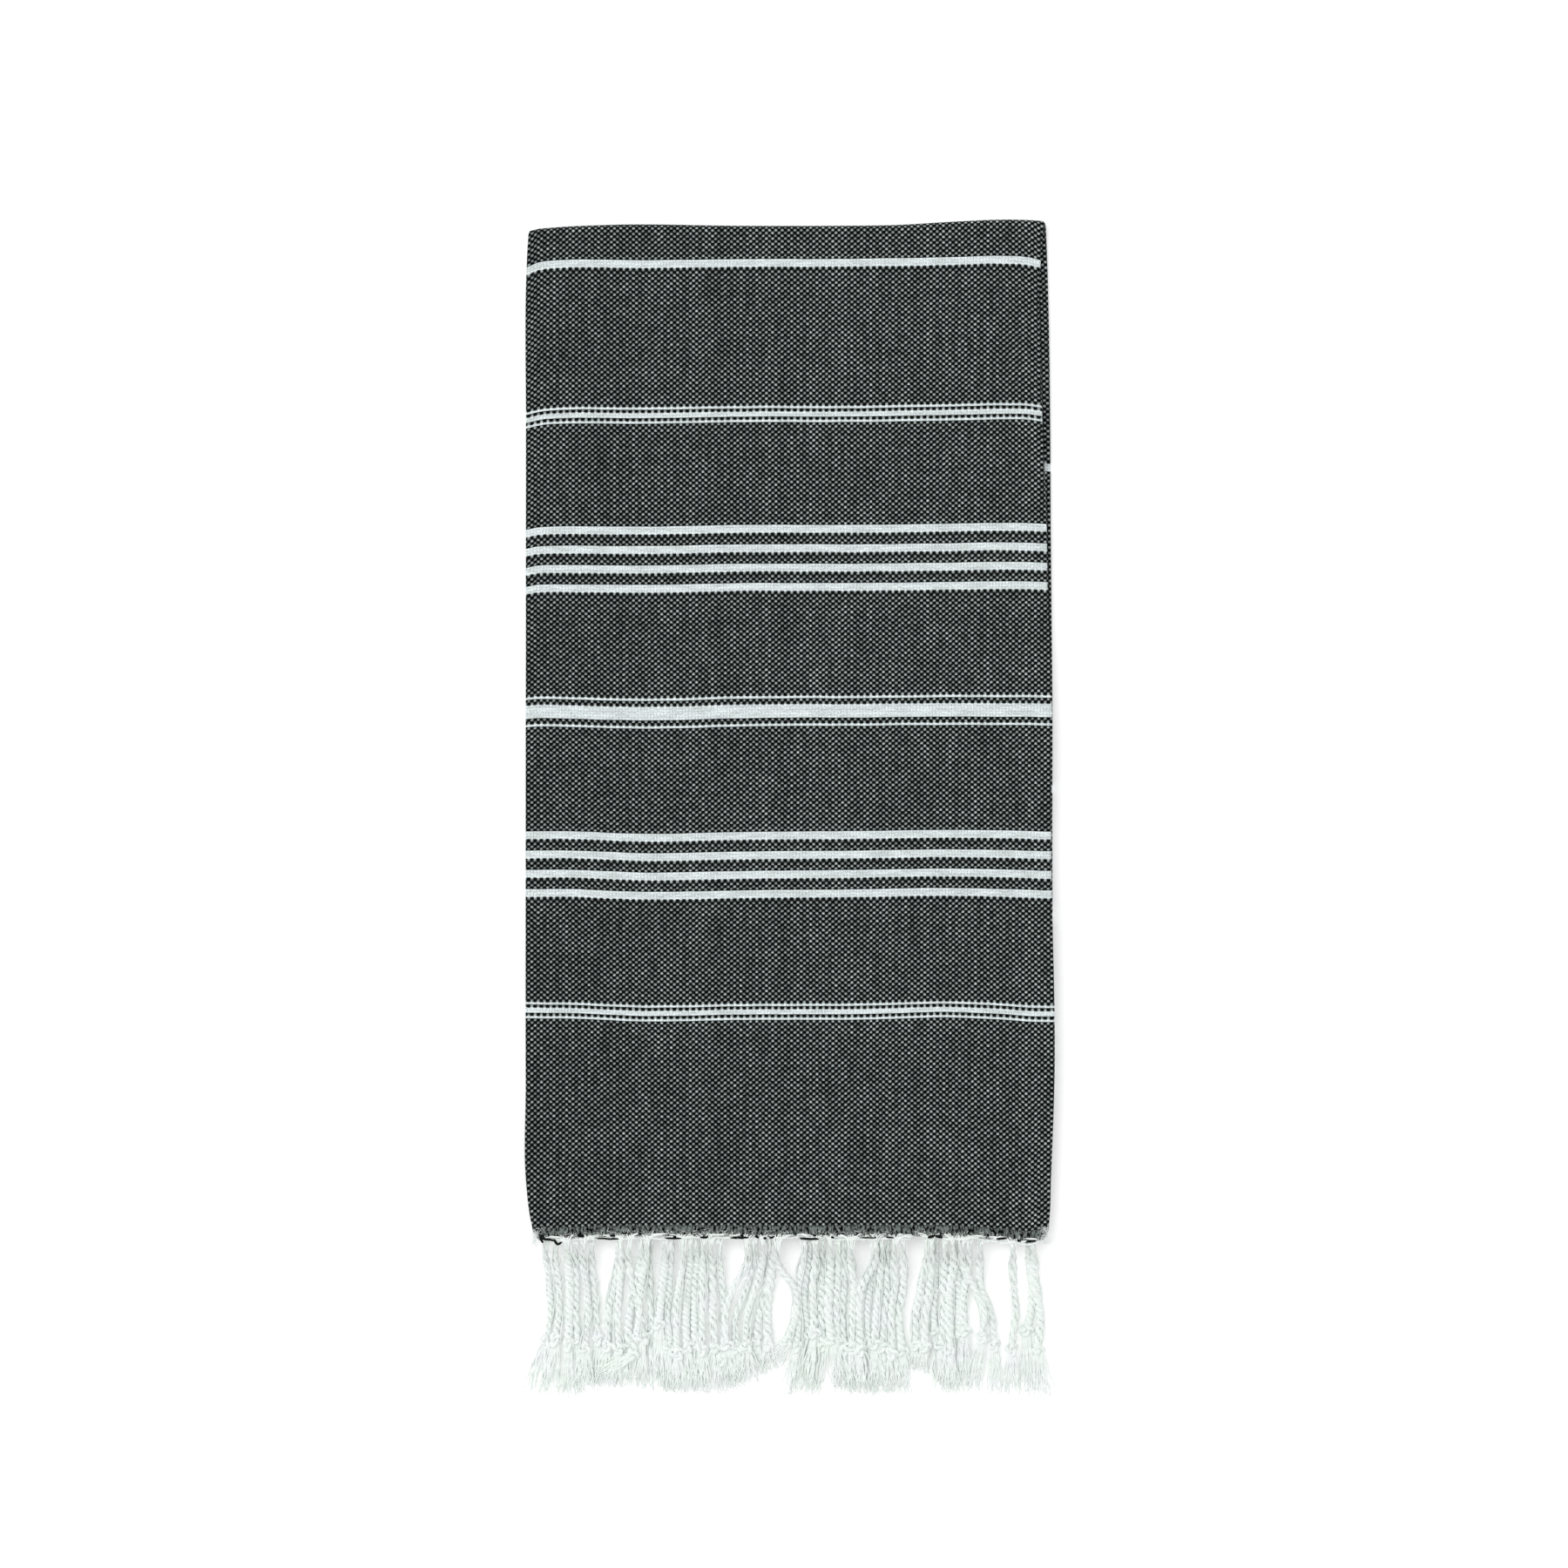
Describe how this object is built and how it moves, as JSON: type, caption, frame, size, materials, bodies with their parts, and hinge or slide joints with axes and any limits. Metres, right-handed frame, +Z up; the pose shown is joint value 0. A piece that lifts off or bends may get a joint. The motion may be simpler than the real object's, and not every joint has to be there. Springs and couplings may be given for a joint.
{
  "type": "folded hammam towel",
  "caption": "Flat-woven cotton towel with weft stripes and a knotted fringe, folded in thirds and then across, lying flat.",
  "frame": {"origin": "under the middle of the whole folded towel, fringe included, on the surface it lies on", "axes": "+X to the right across the folded towel, +Y along it towards the top fold, +Z up from the surface"},
  "size_m": [0.334, 0.744, 0.0129],
  "materials": {
    "woven_cotton": "dry plain weave of off-white warp and near-black weft, with off-white weft stripes",
    "fringe_cotton": "soft off-white two-ply twisted cotton with frayed ends"
  },
  "bodies": {
    "root": {"towel_cloth": "woven_cotton", "fringe_near": "fringe_cotton", "fringe_far": "fringe_cotton"}
  },
  "joints": []
}
